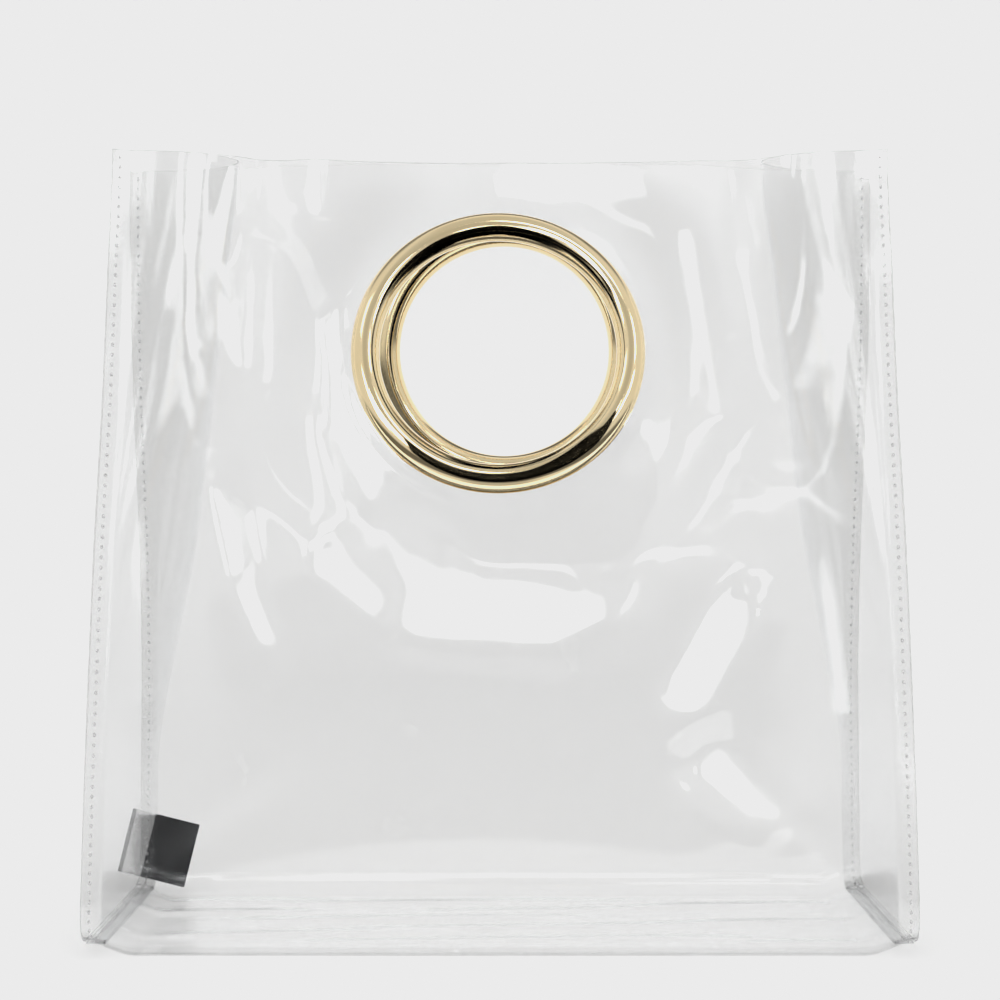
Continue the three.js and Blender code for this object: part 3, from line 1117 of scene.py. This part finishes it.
# Columns: angle from the right in degrees, outer edge, inner edge.
UPPER_ARC = (
    (168, 0.71, 0.75), (155, 0.62, 0.74), (146, 0.60, 0.77), (133, 0.55, 0.86), (121, 0.51, 0.88),
    (108, 0.49, 0.81), (89, 0.45, 0.77), (67, 0.51, 0.84), (58, 0.56, 0.80), (52, 0.57, 0.64),
    (36, 0.55, 0.62), (26, 0.58, 0.69), (20, 0.66, 0.69),
)
LOWER_ARC = (
    (226, 0.58, 0.62), (232, 0.43, 0.65), (243, 0.41, 0.64), (254, 0.40, 0.65), (268, 0.40, 0.67),
    (284, 0.41, 0.69), (298, 0.38, 0.76), (308, 0.36, 0.79), (315, 0.35, 0.77), (322, 0.40, 0.60),
    (330, 0.48, 0.55),
)


def black_strip(name, arc, far):
    angles, outer, inner = np.array(arc).T
    places = np.arange(len(angles))
    turned = ring_matrix(FRONT).to_3x3()
    front, up = -np.array(turned.col[1]), np.array(turned.col[2])
    right = np.array(turned.col[0])
    middle = np.array((FRONT["ring"][0], FRONT["ring_depth"], FRONT["ring"][1] + RING_LIFT))
    to_eye = unit(np.array(EYE) - middle)

    def surface(u, v):
        angle = np.radians(np.interp(u, places, angles))[:, None]
        share = np.interp(u, places, outer) * (1 - v) + np.interp(u, places, inner) * v
        radial = np.cos(angle) * right + np.sin(angle) * up
        outward = unit(radial - (radial @ to_eye)[:, None] * to_eye)
        a, b = np.sum(radial * outward, axis=1), outward @ front
        tilt = (np.arcsin((1 - 2 * share) / np.hypot(a, b)) - np.arctan2(b, a))[:, None]
        normal = np.sin(tilt) * radial + np.cos(tilt) * front
        spot = middle + (RING_OUTER - RING_TUBE) / 2 * radial + RING_TUBE / 2 * normal
        return spot + far * (2 * (normal @ to_eye)[:, None] * normal - to_eye)

    mesh = bmesh.new()
    lay_grid(mesh, surface, np.linspace(0, places[-1], STRIP_COLUMNS), np.linspace(0, 1, STRIP_ROWS))
    for_gloss_only(add_object(name, mesh, glow(name, 0.0)))


black_strip("upper_strip", UPPER_ARC, UPPER_STRIP_FAR)
black_strip("lower_strip", LOWER_ARC, LOWER_STRIP_FAR)
print("strips of", STRIP_COLUMNS, "by", STRIP_ROWS, "points")

# %% [markdown]
# Clear thread runs down each side seam and along the short edges of the base. A stitch is a small grain of
# thread that goes through both sheets and stands a little proud of each. There are hundreds, so each has
# few faces, and a whole row is one mesh.

# %% Thread and stitches
STITCH_PITCH = 3.7
STITCH_HALF_LENGTH = 0.8
STITCH_HALF_WIDTH = 0.55
STITCH_HALF_DEPTH = 0.85
STITCH_INSET = 3.0
STITCH_START = 3
STITCH_END = 2


def clear_thread():
    material, board = new_finish("clear_thread")
    twist = board.mottle(700.0, 1.0)
    tone = board.add(
        "ShaderNodeValToRGB", {"stops": ((0.3, grey(0.62)), (0.7, grey(0.85)))}, {"Fac": twist}
    )
    thread = board.add(
        "ShaderNodeBsdfPrincipled", {}, {"Base Color": tone, "Roughness": 0.25 + 0.2 * twist}
    )
    clear = board.add("ShaderNodeBsdfTransparent", {}, {"Color": grey(0.94)})
    grain = board.add("ShaderNodeMixShader", {}, {0: 0.22 + 0.25 * twist, 1: clear, 2: thread})
    board.surface(grain)
    return material


thread_finish = clear_thread()


def sew(name, middles, ways, depths):
    """One row of stitches from their middles, the direction of the row and the direction through the film."""
    mesh = bmesh.new()
    size = Matrix.Diagonal((STITCH_HALF_WIDTH, STITCH_HALF_DEPTH, STITCH_HALF_LENGTH, 1))
    for middle, way, depth in zip(middles, ways, depths):
        long_axis = Vector(way).normalized()
        across = Vector(depth).cross(long_axis).normalized()
        turned = Matrix((across, long_axis.cross(across), long_axis)).transposed().to_4x4()
        seat = Matrix.Translation(place(*middle)) @ Matrix.Scale(MM, 4) @ turned @ size
        bmesh.ops.create_uvsphere(mesh, u_segments=8, v_segments=5, radius=1, matrix=seat)
    for face in mesh.faces:
        face.smooth = True
    piece = add_object(name, mesh, thread_finish)
    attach(piece, "root")
    print(name, len(middles), "stitches")


def sew_line(name, side, along, step):
    """Stitches at film distances along one seam. The step is the direction in which the row is sewn."""
    across = np.full_like(along, side * (1 - STITCH_INSET / PANEL_HALF_WIDTH))
    depths = inward(across, along)
    middles = body_point(across, along) + depths * (FILM + SEAM_GAP) / 2
    ways = body_point(across, along + step) - body_point(across, along - step)
    sew(name, middles, ways, depths)


up_seam = np.arange(FOLD_START + STITCH_START, STRIP_END - STITCH_END, STITCH_PITCH)
on_base = np.arange(-FOLD_START + STITCH_START, FOLD_START - STITCH_END, STITCH_PITCH)
for word, side in (("left", -1), ("right", 1)):
    sew_line(f"{word}_front_stitches", side, -up_seam, -1)
    sew_line(f"{word}_rear_stitches", side, up_seam, 1)
    sew_line(f"{word}_base_stitches", side, on_base, 1)

# %% [markdown]
# The tag lies outside the rear panel, over the lower end of the left seam. It is a smooth black patch with
# a smoky clear strip at its left, and a dark bound edge beyond that. It has no words on it. It is one thin
# block with round edges, turned a little, and faces take their finish by where they lie across its width.

# %% Tag
TAG_MIDDLE = (-142.6, 59.2, 19.2)
TAG_TURN = 14
TAG_SIZE = (28.6, 0.8, 27.0)
TAG_STRIP = 9.9
TAG_BOUND = 1.6
TAG_ROUND = 0.3


def black_patch():
    material, board = new_finish("black_patch")
    weave = board.mottle(260.0, 4.0)
    tone = board.add(
        "ShaderNodeValToRGB",
        {"stops": ((0.3, (0.002, 0.002, 0.003, 1)), (0.7, (0.006, 0.007, 0.009, 1)))}, {"Fac": weave},
    )
    relief = board.add("ShaderNodeBump", {}, {"Strength": 0.15, "Distance": 0.0002, "Height": weave})
    patch = board.add(
        "ShaderNodeBsdfPrincipled", {},
        {"Base Color": tone, "Roughness": 0.35 + 0.2 * weave, "Normal": relief, "Specular IOR Level": 0.1},
    )
    board.surface(patch)
    return material


def smoky_strip():
    material, board = new_finish("smoky_strip")
    streak = board.mottle(160.0, 2.0)
    gloss = board.add(
        "ShaderNodeBsdfPrincipled", {}, {"Base Color": grey(0.72), "Roughness": 0.12 + 0.1 * streak}
    )
    clear = board.add("ShaderNodeBsdfTransparent", {}, {"Color": grey(0.86)})
    strip = board.add("ShaderNodeMixShader", {}, {0: 0.15 + 0.3 * streak, 1: clear, 2: gloss})
    board.surface(strip)
    return material


def bound_edge():
    material, board = new_finish("bound_edge")
    thread = board.mottle(420.0, 2.0)
    tone = board.add(
        "ShaderNodeValToRGB", {"stops": ((0.35, grey(0.09)), (0.65, grey(0.2)))}, {"Fac": thread}
    )
    edge = board.add("ShaderNodeBsdfPrincipled", {}, {"Base Color": tone, "Roughness": 0.5})
    board.surface(edge)
    return material


def tag():
    width = TAG_SIZE[0]
    mesh = bmesh.new()
    bmesh.ops.create_cube(mesh, size=1)
    bmesh.ops.scale(mesh, vec=TAG_SIZE, verts=mesh.verts)
    for share in (TAG_BOUND, TAG_STRIP):
        bmesh.ops.bisect_plane(
            mesh, geom=mesh.verts[:] + mesh.edges[:] + mesh.faces[:],
            plane_co=(share - width / 2, 0, 0), plane_no=(1, 0, 0),
        )
    outer = [e for e in mesh.edges if e.calc_face_angle(0) > 1]
    bmesh.ops.bevel(
        mesh, geom=outer, offset=TAG_ROUND, affect="EDGES", segments=3, profile=0.5, material=-1,
        clamp_overlap=True,
    )
    for face in mesh.faces:
        from_left = face.calc_center_median().x + width / 2
        face.material_index = 0 if from_left > TAG_STRIP else 1 if from_left > TAG_BOUND else 2
    turned = Matrix.Translation(place(*TAG_MIDDLE)) @ Matrix.Rotation(math.radians(TAG_TURN), 4, "Y")
    bmesh.ops.transform(mesh, matrix=turned @ Matrix.Scale(MM, 4), verts=mesh.verts)
    piece = add_object("corner_tag", mesh, black_patch(), smoky_strip(), bound_edge())
    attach(piece, "root")
    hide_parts("tag")
    print("tag", len(piece.data.polygons), "faces")


tag()

# %% [markdown]
# Last, the box of the finished pieces is printed.

# %% Sizes and the end
low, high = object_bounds()
print("visual box", [round(v, 4) for v in (*low, *high)])
